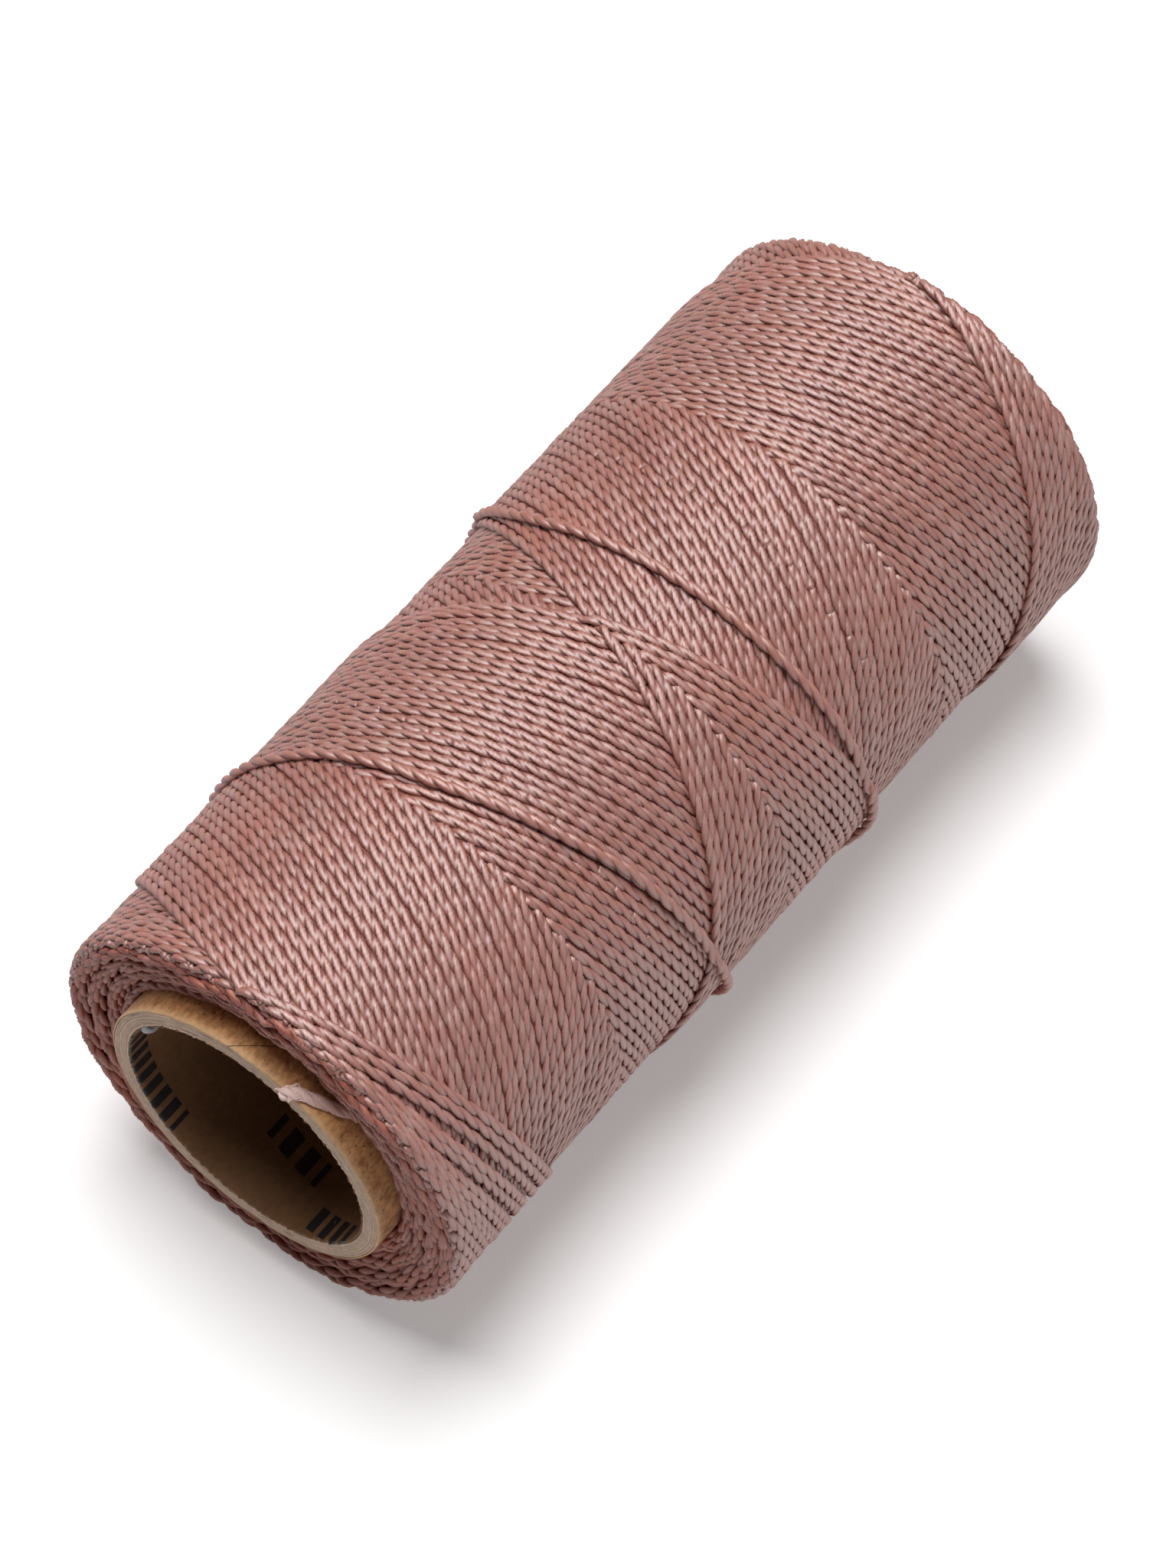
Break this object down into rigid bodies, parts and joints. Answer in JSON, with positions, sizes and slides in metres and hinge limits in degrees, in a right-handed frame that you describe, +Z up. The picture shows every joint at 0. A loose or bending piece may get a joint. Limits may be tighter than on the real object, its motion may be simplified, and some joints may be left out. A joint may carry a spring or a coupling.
{
  "type": "waxed thread spool",
  "caption": "Cylindrical package of waxed two-ply sewing thread, cross wound on an open spiral paper tube, lying on its side.",
  "frame": {"origin": "under the middle of the spool, on the surface it lies on", "axes": "+X along the tube's axis, from the end where the first end of the thread shows to the other end; +Z up, square to the axis; +Y completes the frame"},
  "size_m": [0.135, 0.0626, 0.0609],
  "materials": {
    "liner_kraft": "matte kraft paper",
    "grey_board": "raw cut board",
    "wrap_kraft": "matte kraft paper",
    "buried_thread": "waxed thread in shade",
    "thread": "satin, waxed",
    "frayed_thread": "frayed and flattened"
  },
  "bodies": {
    "root": {"inner_liner": "liner_kraft", "board_ply_1": "grey_board", "board_ply_2": "grey_board", "board_ply_3": "grey_board", "board_ply_4": "grey_board", "outer_wrap": "wrap_kraft", "thread_core": "buried_thread", "outer_winding": "thread", "loose_wrap_near": "thread", "loose_wrap_far": "thread", "start_tail": "frayed_thread"}
  },
  "joints": []
}
